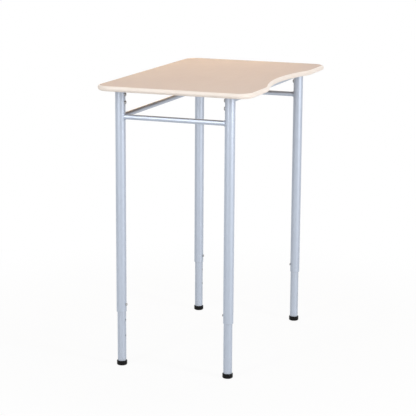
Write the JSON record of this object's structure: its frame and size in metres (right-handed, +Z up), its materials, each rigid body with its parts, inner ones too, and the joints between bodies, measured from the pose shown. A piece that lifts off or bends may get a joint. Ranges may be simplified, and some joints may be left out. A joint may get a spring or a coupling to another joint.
{
  "type": "standing desk",
  "caption": "Standing-height desk with a belly cut laminate top, rounded edge band and round tube legs that telescope and lock with screws.",
  "frame": {"origin": "on the floor under the middle of the top", "axes": "+X to the user's right along the user's edge, +Y away from the user, +Z up"},
  "size_m": [0.807, 0.508, 0.901],
  "materials": {
    "beige_laminate": "fine matte laminate, faint grain",
    "particle_board": "raw particle board",
    "backer_sheet": "brown matte balancing sheet",
    "cream_edging": "satin vinyl moulding",
    "silver_paint": "silver powder coat",
    "zinc_steel": "zinc plated",
    "zinc_screws": "dull zinc plated",
    "black_glide": "moulded nylon"
  },
  "bodies": {
    "desk": {"top_laminate": "beige_laminate", "top_core": "particle_board", "top_backer": "backer_sheet", "edge_band": "cream_edging", "mount_screws": "zinc_screws", "leg_screws": "zinc_screws", "leg_front_left": "silver_paint", "leg_front_right": "silver_paint", "leg_back_right": "silver_paint", "leg_back_left": "silver_paint", "side_bar_left": "silver_paint", "side_bar_right": "silver_paint", "back_bar": "silver_paint", "front_rail": "silver_paint", "frame_welds": "silver_paint", "top_mount_front_left": "zinc_steel", "top_mount_front_right": "zinc_steel", "top_mount_back_right": "zinc_steel", "top_mount_back_left": "zinc_steel"},
    "telescope_front_left": {"lower_leg_front_left": "silver_paint", "glide_front_left": "black_glide"},
    "screw_front_left": {"adjuster_front_left": "zinc_screws"},
    "telescope_front_right": {"lower_leg_front_right": "silver_paint", "glide_front_right": "black_glide"},
    "screw_front_right": {"adjuster_front_right": "zinc_screws"},
    "telescope_back_right": {"lower_leg_back_right": "silver_paint", "glide_back_right": "black_glide"},
    "screw_back_right": {"adjuster_back_right": "zinc_screws"},
    "telescope_back_left": {"lower_leg_back_left": "silver_paint", "glide_back_left": "black_glide"},
    "screw_back_left": {"adjuster_back_left": "zinc_screws"}
  },
  "joints": [
    {"name": "height_front_left", "type": "slide", "parent": "desk", "child": "telescope_front_left", "axis": [0, 0, 1], "range_m": [-0.2032, 0.1016]},
    {"name": "lock_front_left", "type": "slide", "parent": "desk", "child": "screw_front_left", "axis": [0, -1, 0], "range_m": [0, 0.0016]},
    {"name": "height_front_right", "type": "slide", "parent": "desk", "child": "telescope_front_right", "axis": [0, 0, 1], "range_m": [-0.2032, 0.1016]},
    {"name": "lock_front_right", "type": "slide", "parent": "desk", "child": "screw_front_right", "axis": [0, -1, 0], "range_m": [0, 0.0016]},
    {"name": "height_back_right", "type": "slide", "parent": "desk", "child": "telescope_back_right", "axis": [0, 0, 1], "range_m": [-0.2032, 0.1016]},
    {"name": "lock_back_right", "type": "slide", "parent": "desk", "child": "screw_back_right", "axis": [0, 1, 0], "range_m": [0, 0.0016]},
    {"name": "height_back_left", "type": "slide", "parent": "desk", "child": "telescope_back_left", "axis": [0, 0, 1], "range_m": [-0.2032, 0.1016]},
    {"name": "lock_back_left", "type": "slide", "parent": "desk", "child": "screw_back_left", "axis": [0, 1, 0], "range_m": [0, 0.0016]}
  ]
}
